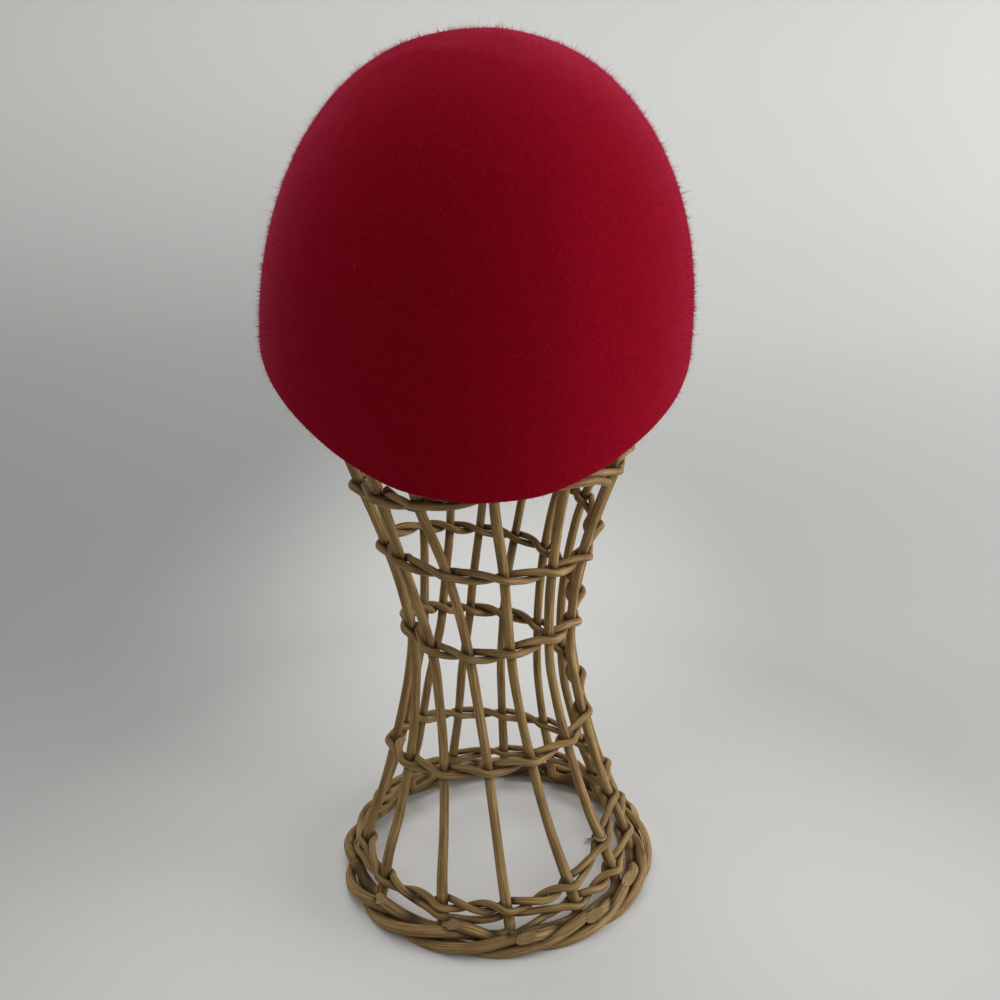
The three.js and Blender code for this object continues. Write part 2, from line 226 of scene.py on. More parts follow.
def lengths_along(points):
    """Distance along a row of points from its first one."""
    steps = np.linalg.norm(np.diff(points, axis=0), axis=1)
    return np.concatenate([[0], np.cumsum(steps)])


def swelling(lengths, waves, starts):
    """Size of a cane along its length, a little uneven, as a share of its usual size."""
    size = np.ones(len(lengths))
    for share, length, start in zip(waves["share"], waves["length"], starts):
        size += share * np.sin(lengths / length + start)
    return size


def put_in_scene(name, data):
    """New object for a mesh, a lamp or a camera."""
    made = bpy.data.objects.new(name, data)
    bpy.context.scene.collection.objects.link(made)
    return made


laid_canes = []


def cane_carrier(name, canes):
    """Chains of edges in the frame's metres, with each cane's number, size, tone and cut on its points."""
    points = np.concatenate([cane["points"] for cane in canes]) * MM + STAND_AXIS
    edges = []
    slants = np.zeros((len(points), 3), np.float32)
    start = 0
    for cane in canes:
        end = start + len(cane["points"]) - 1
        edges += [(i, i + 1) for i in range(start, end)]
        slants[end] = cane.get("end_slant", (0, 0, 0))
        start = end + 1
    mesh = bpy.data.meshes.new(name)
    mesh.from_pydata(points, edges, [])
    columns = {
        "thickness": [np.broadcast_to(c["radius"], len(c["points"])) * MM for c in canes],
        "along": [lengths_along(c["points"]) for c in canes],
        "tone": [np.full(len(c["points"]), c["tone"]) for c in canes],
        "cane": [np.full(len(c["points"]), len(laid_canes) + i) for i, c in enumerate(canes)],
    }
    laid_canes.extend(canes)
    for column, values in columns.items():
        kept = mesh.attributes.new(column, "FLOAT", "POINT")
        kept.data.foreach_set("value", np.concatenate(values).astype(np.float32))
    kept = mesh.attributes.new("slant", "FLOAT_VECTOR", "POINT")
    kept.data.foreach_set("vector", slants.ravel())
    return put_in_scene(name, mesh)


def add_node(tree, kind, inputs=None, **settings):
    """New node in a tree. Each input is a value, or the output of another node to be linked."""
    node = tree.nodes.new(kind)
    for name, value in settings.items():
        setattr(node, name, value)
    for name, value in (inputs or {}).items():
        if isinstance(value, bpy.types.NodeSocket):
            tree.links.new(value, node.inputs[name])
        else:
            node.inputs[name].default_value = value
    return node


def math_node(tree, operation, first, second=0.0):
    """One sum on two values."""
    return add_node(tree, "ShaderNodeMath", {0: first, 1: second}, operation=operation).outputs[0]


def vector_math(tree, operation, first, second=(0, 0, 0)):
    """One sum on two vectors, which gives a value or a vector."""
    node = add_node(tree, "ShaderNodeVectorMath", {0: first, 1: second}, operation=operation)
    return node.outputs["Value" if operation in ("LENGTH", "DOT_PRODUCT") else "Vector"]


def store(tree, geometry, name, value, data_type="FLOAT", domain="POINT"):
    """Keeps a field on a geometry under a name and gives the geometry on."""
    inputs = {"Geometry": geometry, "Name": name, "Value": value}
    kind = "GeometryNodeStoreNamedAttribute"
    return add_node(tree, kind, inputs, data_type=data_type, domain=domain).outputs[0]


def named(tree, name, data_type="FLOAT"):
    """Field kept on the geometry under a name."""
    return add_node(tree, "GeometryNodeInputNamedAttribute", {"Name": name}, data_type=data_type).outputs[0]


def open_tree(name, sockets):
    """New geometry tree with its named inputs and one output."""
    tree = bpy.data.node_groups.new(name, "GeometryNodeTree")
    for socket, kind in sockets.items():
        tree.interface.new_socket(socket, in_out="INPUT", socket_type="NodeSocket" + kind)
    tree.interface.new_socket("Geometry", in_out="OUTPUT", socket_type="NodeSocketGeometry")
    return tree, tree.nodes.new("NodeGroupInput").outputs


def close_tree(tree, geometry, material):
    """Ends a geometry tree with real faces and their material."""
    real = add_node(tree, "GeometryNodeRealizeInstances", {"Geometry": geometry}).outputs[0]
    finished = add_node(tree, "GeometryNodeSetMaterial", {"Geometry": real, "Material": material})
    add_node(tree, "NodeGroupOutput", {"Geometry": finished.outputs[0]})


def make_cane_tree():
    """Round cane along every chain of edges, with its ends cut straight or on a slant."""
    side_corners = 4
    tree, given = open_tree("round_cane", {"Geometry": "Geometry", "Sides": "Int", "Material": "Material"})
    position = tree.nodes.new("GeometryNodeInputPosition").outputs[0]
    tangent = tree.nodes.new("GeometryNodeInputTangent").outputs[0]
    line = add_node(tree, "GeometryNodeMeshToCurve", {"Mesh": given["Geometry"]}).outputs[0]
    line = store(tree, line, "middle", position, "FLOAT_VECTOR")
    line = store(tree, line, "heading", tangent, "FLOAT_VECTOR")
    circle = add_node(tree, "GeometryNodeCurvePrimitiveCircle", {
        "Resolution": given["Sides"], "Radius": 1.0}).outputs[0]
    profile = store(tree, circle, "ring", position, "FLOAT_VECTOR")
    tube = add_node(tree, "GeometryNodeCurveToMesh", {
        "Curve": line, "Profile Curve": profile, "Scale": named(tree, "thickness"),
        "Fill Caps": True}).outputs[0]
    from_middle = vector_math(tree, "SUBTRACT", position, named(tree, "middle", "FLOAT_VECTOR"))
    rise = vector_math(tree, "DOT_PRODUCT", from_middle, named(tree, "slant", "FLOAT_VECTOR"))
    shear = add_node(tree, "ShaderNodeVectorMath", {
        0: named(tree, "heading", "FLOAT_VECTOR"),
        "Scale": math_node(tree, "MULTIPLY", rise, -1.0)}, operation="SCALE").outputs[0]
    tube = add_node(tree, "GeometryNodeSetPosition", {"Geometry": tube, "Offset": shear}).outputs[0]
    corners = tree.nodes.new("GeometryNodeInputMeshFaceNeighbors").outputs["Vertex Count"]
    is_cut = add_node(tree, "FunctionNodeCompare", {
        "A": corners, "B": side_corners}, data_type="INT", operation="GREATER_THAN").outputs[0]
    is_side = add_node(tree, "FunctionNodeBooleanMath", {0: is_cut}, operation="NOT").outputs[0]
    tube = store(tree, tube, "cut", is_cut, "FLOAT", "FACE")
    tube = add_node(tree, "GeometryNodeSetShadeSmooth", {
        "Geometry": tube, "Shade Smooth": is_side}).outputs[0]
    close_tree(tree, tube, given["Material"])
    return tree


def as_plain_mesh(piece, tree, inputs):
    """Runs a geometry tree on a piece and keeps the result as the piece's own mesh."""
    modifier = piece.modifiers.new("maker", "NODES")
    modifier.node_group = tree
    for item in tree.interface.items_tree:
        if item.in_out == "INPUT" and item.name in inputs:
            modifier[item.identifier] = inputs[item.name]
    depsgraph = bpy.context.evaluated_depsgraph_get()
    made = bpy.data.meshes.new_from_object(piece.evaluated_get(depsgraph), depsgraph=depsgraph)
    piece.modifiers.remove(modifier)
    piece.data = made
    return piece


def press_on_floor(piece):
    """Flattens the underside of the canes that the stand's weight rests on."""
    points = np.zeros(len(piece.data.vertices) * 3, np.float32)
    piece.data.vertices.foreach_get("co", points)
    points = points.reshape(-1, 3)
    points[:, 2] = np.maximum(points[:, 2], 0)
    piece.data.vertices.foreach_set("co", points.ravel())
    piece.data.update()


def mix_colors(tree, share, first, second, blend="MIX"):
    """Colour between two colours, by a share that changes over the surface."""
    inputs = {0: share, 6: first, 7: second}
    return add_node(tree, "ShaderNodeMix", inputs, data_type="RGBA", blend_type=blend).outputs[2]


def stepped(tree, value, low, high, to_low=0.0, to_high=1.0):
    """Value moved from one range to another and held inside it."""
    inputs = {"Value": value, "From Min": low, "From Max": high, "To Min": to_low, "To Max": to_high}
    return add_node(tree, "ShaderNodeMapRange", inputs).outputs[0]


def noise(tree, vector, scale, detail=2.0, roughness=0.5):
    """Soft random pattern, from 0 to 1."""
    inputs = {"Vector": vector, "Scale": scale, "Detail": detail, "Roughness": roughness}
    return add_node(tree, "ShaderNodeTexNoise", inputs).outputs[0]


def kept_value(tree, name, output="Fac"):
    """Value or vector that the mesh keeps under a name."""
    return add_node(tree, "ShaderNodeAttribute", attribute_name=name).outputs[output]


def new_material(name, finish):
    """New material with the constant values of its finish, and its node tree and shader."""
    material = bpy.data.materials.new(name)
    material.use_nodes = True
    shader = material.node_tree.nodes["Principled BSDF"]
    for socket, value in finish.items():
        shader.inputs[socket].default_value = value
    return material, material.node_tree, shader


def stained(tree, color, stains):
    """Colour with each stain laid over it in turn, from where its pattern starts to where it is full."""
    for stain in stains:
        share = stepped(tree, stain["by"], stain["start"], stain["full"], 0.0, stain["share"])
        color = mix_colors(tree, share, color, stain["color"])
    return color


def make_rattan():
    """Bare cane: straw brown with long fibre streaks, a dull gloss, stippled pith where it is cut, and
    painted shade in its crevices and near the floor.
    """
    honey = (0.285, 0.168, 0.053, 1)
    straw = (0.42, 0.268, 0.1, 1)
    brown = (0.1, 0.052, 0.018, 1)
    light = (0.56, 0.385, 0.17, 1)
    pale = (0.72, 0.6, 0.38, 1)
    shade = (0.03, 0.017, 0.007, 1)
    pith = (0.31, 0.2, 0.09, 1)
    pore = (0.1, 0.06, 0.025, 1)
    pattern_apart = 317.0
    fibre_stretch = 0.014
    patch_stretch = 0.03
    floor_shade_tone = 0.82
    floor_shade_below = 0.03
    plain_above = 0.15
    material, tree, shader = new_material("rattan", {"Specular IOR Level": 0.22})
    around = add_node(tree, "ShaderNodeSeparateXYZ", {0: kept_value(tree, "ring", "Vector")}).outputs
    along = kept_value(tree, "along")
    tone = kept_value(tree, "tone")
    cut = kept_value(tree, "cut")
    own_place = math_node(tree, "MULTIPLY", tone, pattern_apart)
    slow_along = math_node(tree, "MULTIPLY", along, fibre_stretch)
    lengthwise = add_node(tree, "ShaderNodeCombineXYZ", {
        "X": around["X"], "Y": around["Y"], "Z": math_node(tree, "ADD", slow_along, own_place)}).outputs[0]
    by_patch = add_node(tree, "ShaderNodeCombineXYZ", {
        "X": math_node(tree, "MULTIPLY", along, patch_stretch), "Y": own_place}).outputs[0]
    place = tree.nodes.new("ShaderNodeTexCoord").outputs["Object"]
    fibres = noise(tree, lengthwise, scale=7.0, detail=3.0, roughness=0.6)
    lines = noise(tree, lengthwise, scale=4.5, detail=1.0)
    streaks = noise(tree, lengthwise, scale=1.6)
    patches = noise(tree, by_patch, scale=1.0, detail=3.0)
    grime = noise(tree, place, scale=60.0, detail=3.0)
    crevice = kept_value(tree, "crevice")
    color = stained(tree, honey, [
        {"by": streaks, "start": 0.32, "full": 0.68, "share": 1.0, "color": straw},
        {"by": tone, "start": 0.0, "full": 1.0, "share": 0.4, "color": honey},
        {"by": fibres, "start": 0.47, "full": 0.7, "share": 0.65, "color": brown},
        {"by": lines, "start": 0.53, "full": 0.62, "share": 0.5, "color": brown},
        {"by": lines, "start": 0.46, "full": 0.36, "share": 0.45, "color": light},
        {"by": patches, "start": 0.52, "full": 0.75, "share": 0.45, "color": brown},
        {"by": grime, "start": 0.55, "full": 0.8, "share": 0.3, "color": brown},
        {"by": tone, "start": 0.0, "full": -1.0, "share": 0.85, "color": pale},
        # painted shade: darker where the skin lies close to another cane
        {"by": crevice, "start": 0.0, "full": 1.0, "share": 0.85, "color": shade},
    ])
    # Painted shade: the cane's colour is painted darker towards the floor.
    height = add_node(tree, "ShaderNodeSeparateXYZ", {0: place}).outputs["Z"]
    painted_floor_shade = stepped(tree, height, floor_shade_below, plain_above, floor_shade_tone, 1.0)
    color = mix_colors(tree, 1.0, color, painted_floor_shade, "MULTIPLY")
    stipple = add_node(tree, "ShaderNodeTexVoronoi", {"Vector": place, "Scale": 2200.0}).outputs["Distance"]
    end_grain = mix_colors(tree, stepped(tree, stipple, 0.2, 0.5), pore, pith)
    tree.links.new(mix_colors(tree, cut, color, end_grain), shader.inputs["Base Color"])
    tree.links.new(stepped(tree, fibres, 0.3, 0.7, 0.5, 0.68), shader.inputs["Roughness"])
    grain = math_node(tree, "ADD", fibres, lines)
    relief = math_node(tree, "ADD", grain, math_node(tree, "MULTIPLY", stipple, cut))
    bump = add_node(tree, "ShaderNodeBump", {"Height": relief, "Strength": 0.35, "Distance": 0.0003})
    tree.links.new(bump.outputs[0], shader.inputs["Normal"])
    return material


cane_tree = make_cane_tree()
rattan = make_rattan()


def lay_canes(name, canes, sides):
    """One piece of the stand, made of round canes."""
    return as_plain_mesh(cane_carrier(name, canes), cane_tree, {"Sides": sides, "Material": rattan})


grower = random.Random(STAKE_SEED)
cut_length = 2 * BORDER_CANE_RADIUS * BORDER_CUT_SLANT * BORDER_CUT_OUT
stakes = []
for number in range(STAKE_COUNT):
    upright = stake_upright(number)
    rolled = stake_in_border(number)
    path = np.concatenate([upright, bend_between(upright, rolled, TURN_DOWN_STEPS), rolled])
    to_end = lengths_along(path[::-1])[::-1]
    path = path[(to_end > cut_length) | (to_end == 0)]
    starts = [grower.uniform(*STAKE_WAVE_STARTS) for wave in STAKE_WAVES["share"]]
    stoutness = ease(path[:, 2], STOUTER_BELOW, STOUTEST_BELOW) * (BORDER_CANE_RADIUS - STAKE_RADIUS)
    stakes.append({
        "points": path,
        "radius": (STAKE_RADIUS + stoutness) * swelling(lengths_along(path), STAKE_WAVES, starts),
        "tone": grower.random(),
        "end_slant": border_cut(number),
    })
stand_stakes = lay_canes("stand_stakes", stakes, STAKE_SIDES)
press_on_floor(stand_stakes)
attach(stand_stakes, "root")
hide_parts(*[f"stake_{number + 1:02d}" for number in range(STAKE_COUNT)])
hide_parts("foot_cane_1", "foot_cane_2", "foot_cane_3")


# Twined weavers
# Two thin rattan canes wind down round the stakes in one long spiral. Between stakes they cross, so each
# stake is gripped between the one that passes outside it and the one that passes inside.
WEAVER_RADIUS = 1.65
WEAVER_SIDES = 10
WEAVER_GRIP = 4.4
WEAVER_PRESS = 0.35
WEAVER_STEPS = 16
WEAVER_FIRST = -3
WEAVER_LAST = [74, 79]
WEAVER_TONES = [0.35, 0.65]
WEAVER_WAVES = {"share": [0.04, 0.03], "length": [31, 12.7]}
WEAVER_LAID_OUT = 0.6
WEAVER_LAST_HEIGHT = 10
WEAVER_END_OUT = 3.4
WEAVER_END_DROP = 2.8
WEAVER_END_STEPS = 24
WEAVER_END_TONE = 0.8

# Cut ends that stand out from the top row: one inside the stakes on the left, one outside them on the right
WEAVER_ENDS = [
    {
        "bearing": [-50, -45, -41, -35, -29],
        "radius": [54.5, 53.8, 53.3, 53.6, 54],
        "height": [200.6, 198.3, 196, 195, 195],
    },
    {
        "bearing": [49.5, 45, 40, 34, 26],
        "radius": [65.2, 65.8, 66.0, 65.6, 64.4],
        "height": [203.2, 204.9, 206.3, 206.4, 206],
    },
]

# Height of the twined pair along its way round and down, bearing counted on past each full turn
WEAVE = {
    "bearing": [
        170, 79, 61, 48, 33, 15, 0, -12, -25, -40, -76, -150, -235, -270, -290, -332, -386, -436, -534, -576,
        -622, -646, -686, -727, -755, -799, -883, -939, -980, -1008, -1059, -1108, -1170, -1245, -1289,
        -1351, -1372, -1390, -1410, -1435, -1459, -1491, -1516, -1620, -1690, -1715, -1731, -1741, -1754,
        -1770, -1795, -1819, -1842, -1890, -2100,
    ],
    "height": [
        225, 207, 204.5, 205, 206, 205.5, 203, 200.8, 199, 197.6, 197, 190, 181, 172, 164.5, 163.5, 165.5,
        168, 157, 151, 141, 130.5, 129, 125.5, 125.5, 130, 117, 110, 96, 82, 77, 71.5, 65.5, 51, 46,
        41, 35.5, 28.1, 21.2, 17.7, 17.4, 16.2, 18, 19.5, 21, 20, 17, 15.8, 13.6,
        12.5, 12.8, 13.6, 13.6, 12.7, 12.6,
    ],
}
WEAVE_FIRST_GUESS = 120.0
WEAVE_GUESSES = 6
WEAVE_LOOK_ASIDE = 0.05

# Half turns of the pair round itself by the stake count: one between neighbours, and two in the gaps that
# show at the foot
WEAVE_TWIST = {
    "count": [-4, 59, 60, 61, 62, 72, 73, 90],
    "half_turns": [-4, 59, 61, 63, 65, 75, 77, 94],
}


def weave_middle(count):
    """Middle of the twined pair at a stake count along its way round."""
    whole = math.floor(count)
    share = count - whole
    height = WEAVE_FIRST_GUESS
    for guess in range(WEAVE_GUESSES):
        here = stake_bearing(whole, height)
        bearing = here + share * (stake_bearing(whole + 1, height) - here)
        height = through(WEAVE["bearing"], WEAVE["height"], bearing)
    return on_ring(bearing, through(RING["height"], RING["radius"], height), height), bearing


def weaver_point(count, strand):
    """One weaver of the pair: close beside its partner between stakes, and spread from it at each stake."""
    middle, bearing = weave_middle(count)
    out = on_ring(bearing, 1.0, 0.0)
    along = weave_middle(count + WEAVE_LOOK_ASIDE)[0] - weave_middle(count - WEAVE_LOOK_ASIDE)[0]
    up = np.cross(along, out)
    up *= math.copysign(1, up[2]) / np.linalg.norm(up)
    phase = math.pi * (np.interp(count, WEAVE_TWIST["count"], WEAVE_TWIST["half_turns"]) + strand)
    from_stake = np.linalg.norm(along) / (2 * WEAVE_LOOK_ASIDE) * abs(count - round(count))
    spread = STAKE_RADIUS - WEAVER_PRESS
    swing = WEAVER_RADIUS + spread * math.exp(-(from_stake / WEAVER_GRIP) ** 2)
    return middle + out * swing * math.cos(phase) + up * WEAVER_RADIUS * math.sin(phase)


def along_table(table, steps):
    """Points along a short table of bearings, radii and heights."""
    rows = np.arange(len(table["bearing"]))
    at = np.linspace(0, rows[-1], steps)
    return on_ring(*(through(rows, table[column], at) for column in ("bearing", "radius", "height")))


weavers = []
for strand, last in enumerate(WEAVER_LAST):
    counts = np.linspace(WEAVER_FIRST, last, (last - WEAVER_FIRST) * WEAVER_STEPS + 1)
    path = np.array([weaver_point(count, strand) for count in counts])
    laid_out = ease(counts, last - WEAVER_LAID_OUT, last)[:, None]
    outwards = on_ring(stake_bearing(last, WEAVER_LAST_HEIGHT), 1.0, 0.0)
    path += laid_out * (WEAVER_END_OUT * outwards - [0, 0, WEAVER_END_DROP])
    swell = swelling(lengths_along(path), WEAVER_WAVES, [strand, 2 * strand])
    weavers.append({"points": path, "radius": WEAVER_RADIUS * swell, "tone": WEAVER_TONES[strand]})
for end in WEAVER_ENDS:
    points = along_table(end, WEAVER_END_STEPS)
    weavers.append({"points": points, "radius": WEAVER_RADIUS, "tone": WEAVER_END_TONE})
twined_weavers = lay_canes("twined_weavers", weavers, WEAVER_SIDES)
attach(twined_weavers, "root")
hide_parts(*[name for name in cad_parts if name.startswith("weaver_")])


# Lashing under the crown
# The tips of the stakes are gathered under the felt and bound by a coil of thin cane. It is hidden by the
# cap and is made plainly.
LASHING_CANE_RADIUS = 1.5
LASHING_SIDES = 8
LASHING_LAYERS = 3
LASHING_TURNS = 4
LASHING_TURN_STEPS = 28
LASHING_PITCH = 2.05
LASHING_TONE_STEP = 0.3
lashing_low, lashing_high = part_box("crown_knot")
lashing_reach = (lashing_high.x - lashing_low.x) / 2 / MM
turns = np.linspace(0, LASHING_TURNS, LASHING_TURNS * LASHING_TURN_STEPS + 1)
coils = []
for layer in range(LASHING_LAYERS):
    radius = lashing_reach - LASHING_CANE_RADIUS - turns * LASHING_PITCH * LASHING_CANE_RADIUS
    height = lashing_low.z / MM + LASHING_CANE_RADIUS * (1 + 2 * layer)
    coils.append({
        "points": on_ring(360 * turns, radius, height),
        "radius": LASHING_CANE_RADIUS,
        "tone": LASHING_TONE_STEP * layer,
    })
crown_lashing = lay_canes("crown_lashing", coils, LASHING_SIDES)
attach(crown_lashing, "root")
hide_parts("crown_knot")


# Painted shade in the crevices of the stand
# Where two lengths of cane press on each other, shade is painted into the skin's colour, so the skin close
# to another cane is painted darker and browner.
CREVICE_NEAR = 0.1
CREVICE_FAR = 2.1
CREVICE_NEIGHBOURS = 28


def paint_crevice_shade(piece):
    """Keeps on each point of a piece how close it lies to the skin of another cane, as the mask of the
    painted shade.
    """
    mesh = piece.data
    owner = np.zeros(len(mesh.vertices), np.float32)
    mesh.attributes["cane"].data.foreach_get("value", owner)
    owner = np.rint(owner).astype(int)
    crevice = np.zeros(len(owner), np.float32)
    for vertex in mesh.vertices:
        gap = CREVICE_FAR
        for place, index, distance in cane_points.find_n(vertex.co, CREVICE_NEIGHBOURS):
            if point_owners[index] != owner[vertex.index]:
                gap = min(gap, distance / MM - point_sizes[index])
        crevice[vertex.index] = 1 - ease(gap, CREVICE_NEAR, CREVICE_FAR)
    mesh.attributes.new("crevice", "FLOAT", "POINT").data.foreach_set("value", crevice)


point_owners = np.concatenate([np.full(len(cane["points"]), i) for i, cane in enumerate(laid_canes)])
point_sizes = np.concatenate([np.broadcast_to(cane["radius"], len(cane["points"])) for cane in laid_canes])
cane_points = KDTree(len(point_owners))
for index, place in enumerate(np.concatenate([cane["points"] for cane in laid_canes]) * MM + STAND_AXIS):
    cane_points.insert(place, index)
cane_points.balance()
for piece in (stand_stakes, twined_weavers):
    paint_crevice_shade(piece)


# Torn skin of the border
# Where a cane of the border was bent sharply, thin strips of its skin have split off. The thinnest are paler
# than the rest.
SPLINTERS = [
    {
        "bearing": [93, 86, 80, 74],
        "radius": [71.4, 72.6, 73.6, 74.6],
        "height": [11.4, 11.8, 11.6, 11.0],
        "thick": 0.9,
        "tone": 0.2,
    },
    {
        "bearing": [88, 83, 78, 75.5],
        "radius": [71.2, 72.2, 73.2, 73.4],
        "height": [12.0, 12.4, 12.4, 12.8],
        "thick": 0.5,
        "tone": -0.5,
    },
    {
        "bearing": [56.2, 55.4, 54.4, 53.6],
        "radius": [71.6, 73.0, 73.2, 72.2],
        "height": [11.6, 11.2, 11.4, 12.2],
        "thick": 0.35,
        "tone": -1.0,
    },
]
SPLINTER_SIDES = 6
SPLINTER_STEPS = 18
SPLINTER_TAPER = 0.75
splinters = []
for strip in SPLINTERS:
    points = along_table(strip, SPLINTER_STEPS)
    taper = strip["thick"] * (1 - SPLINTER_TAPER * np.linspace(0, 1, SPLINTER_STEPS))
    splinters.append({"points": points, "radius": taper, "tone": strip["tone"]})
border_splinters = lay_canes("border_splinters", splinters, SPLINTER_SIDES)
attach(border_splinters, "root")


# String tie on a stake
# A thin pale string is wound twice round the third stake just above the weavers. Its knot sits on the left
# and its cut ends have frayed into single fibres.
TIE_STAKE = 2
TIE_HEIGHT = 31
TIE_TURNS = 2.2
TIE_STEPS = 60
TIE_RADIUS = 2.75
TIE_PITCH = 0.55
TIE_START = -90
KNOT_BEARING = -75
KNOT_RISE = 0.4
STRING_RADIUS = 0.28
STRING_SIDES = 5
STRING_TONE = -0.8
TUFT_COUNT = 22
TUFT_STEPS = 8
TUFT_TIP_RADIUS = 0.06
TUFT_TAPER = 0.07
TUFT_SEED = 31

# How the fibres of the frayed ends vary: the least and the most of each
TUFT = {
    "bearing": (-105, -55),
    "rise": (-0.7, 0.1),
    "droop": (-2.0, 0.0),
    "reach": (2.2, 5.5),
    "paleness": (0.3, 0.9),
}
tie_bearing = stake_bearing(TIE_STAKE, TIE_HEIGHT)
tie_middle = on_ring(tie_bearing, through(RING["height"], RING["radius"], TIE_HEIGHT), TIE_HEIGHT)
wound = np.linspace(0, 360 * TIE_TURNS, TIE_STEPS)
string_turns = tie_middle + on_ring(wound + TIE_START, TIE_RADIUS, TIE_PITCH * wound / 360)
strings = [{"points": string_turns, "radius": STRING_RADIUS, "tone": STRING_TONE}]
knot = tie_middle + on_ring(KNOT_BEARING, TIE_RADIUS, KNOT_RISE)
share = np.linspace(0, 1, TUFT_STEPS)[:, None]
frayer = random.Random(TUFT_SEED)
for number in range(TUFT_COUNT):
    bearing, rise, droop, reach, paleness = [frayer.uniform(*limits) for limits in TUFT.values()]
    strings.append({
        "points": knot + on_ring(bearing, 1.0, rise) * reach * share + np.array([0, 0, droop]) * share**2,
        "radius": TUFT_TIP_RADIUS + TUFT_TAPER * (1 - share[:, 0]),
        "tone": -paleness,
    })
string_tie = lay_canes("string_tie", strings, STRING_SIDES)
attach(string_tie, "root")


# Felt cap
# One piece of crimson wool felt, blocked to a deep dome with a softly sunk tip and cut low at the nape. The
# wall is two millimetres thick, the edge is cut and left bare, and the nap is brushed up all over.
CAP_WIDTH = 180
CAP_DEPTH = 196
CAP_TOP = 379
CAP_WIDEST = 262
CAP_FULLNESS = 2.17
CAP_WALL = 2.0
CAP_TUCK = 3.5
CAP_TUCK_REACH = 55
CAP_LEAN = 3.9
CAP_SHIFT = -1.8
CAP_COLUMNS = 240
CAP_ROWS = 116
CAP_INNER_ROWS = 40
CAP_EDGE_STEPS = 6
CAP_LAST_PART = 0.9945
CAP_FOLDS_FADE = 3
CAP_STEP_DOWN = 0.004
CAP_STEP_ROUND = 0.5

# Height of the cut edge at each bearing from the nape, the same on both sides
CAP_EDGE = {
    "bearing": [0, 15, 30, 45, 60, 75, 90, 130, 180],
    "height": [209.8, 212.2, 219.6, 230.2, 241.4, 252.2, 257.5, 272.0, 284.0],
}

# Soft dents and ridges of the crown: where each one is centred, how far it spreads and how deep it goes
CAP_FOLDS = [
    {"name": "sunk tip", "x": -2, "y": 14, "spread": 30, "depth": 3.0},
    {"name": "ridge left of the tip", "x": -26, "y": -30, "spread": 15, "depth": -0.1},
    {"name": "ridge in front of the tip", "x": 4, "y": -34, "spread": 16, "depth": -0.9},
    {"name": "ridge right of the tip", "x": 34, "y": -24, "spread": 15, "depth": -0.2},
    {"name": "flat at the right shoulder", "x": 66, "y": -12, "spread": 26, "depth": 0.8},
]

# Soft crease in front of the tip, where the crown turns down: how far from the tip and how high, by bearing
CAP_CREASE = {
    "bearing": [-75, -49, -32, -13, 4, 27, 50],
    "from_tip": [65, 58.5, 53.5, 54.5, 57, 62.5, 69.5],
    "height": [0, 1.2, 1.4, 1.1, 0.75, 0.3, 0],
}
CAP_CREASE_SPREAD = 8
CAP_CREASE_ROUNDING = 1.1

# Places where the side of the cap stands out from its oval: the bearing and height of the middle, and how
# far each one spreads
CAP_BULGES = [
    {"name": "fuller left side", "bearing": -80, "reach": 48, "height": 254, "spread": 52, "out": 1.9},
    {"name": "flute on the right", "bearing": 20, "reach": 7, "height": 290, "spread": 45, "out": 0.35},
    {"name": "hollow beside the flute", "bearing": 33, "reach": 7, "height": 300, "spread": 40, "out": -0.3},
    {"name": "hollow on the left", "bearing": -22, "reach": 12, "height": 265, "spread": 40, "out": -0.5},
]


def crown_point(bearing, part):
    """Smooth crown of the cap before its folds, part 0 at the tip and part 1 at the edge."""
    from_nape = np.abs((bearing + 180) % 360 - 180)
    rim = through(CAP_EDGE["bearing"], CAP_EDGE["height"], from_nape)
    rise = CAP_TOP - CAP_WIDEST
    above = np.clip((rim - CAP_WIDEST) / rise, 0, 1)
    dome_turn = np.arccos(above ** (CAP_FULLNESS / 2))
    edge_turn = np.where(rim > CAP_WIDEST, dome_turn, math.pi / 2 + (CAP_WIDEST - rim) / rise)
    turn = edge_turn * part
    dome = np.clip(turn, 0, math.pi / 2)
    below = np.maximum(turn - math.pi / 2, 0) * rise
    tuck = 2 * CAP_TUCK / CAP_WIDTH * (below / CAP_TUCK_REACH) ** 2
    size = np.where(below > 0, 1 - tuck, np.sin(dome) ** (2 / CAP_FULLNESS))
    height = CAP_WIDEST + rise * np.clip(np.cos(dome), 0, 1) ** (2 / CAP_FULLNESS)
    height = np.where(below > 0, CAP_WIDEST - below, height)
    oval = on_ring(bearing, 1.0, 0.0)[..., :2] * np.array([CAP_WIDTH, CAP_DEPTH]) / 2
    return oval * size[..., None], height


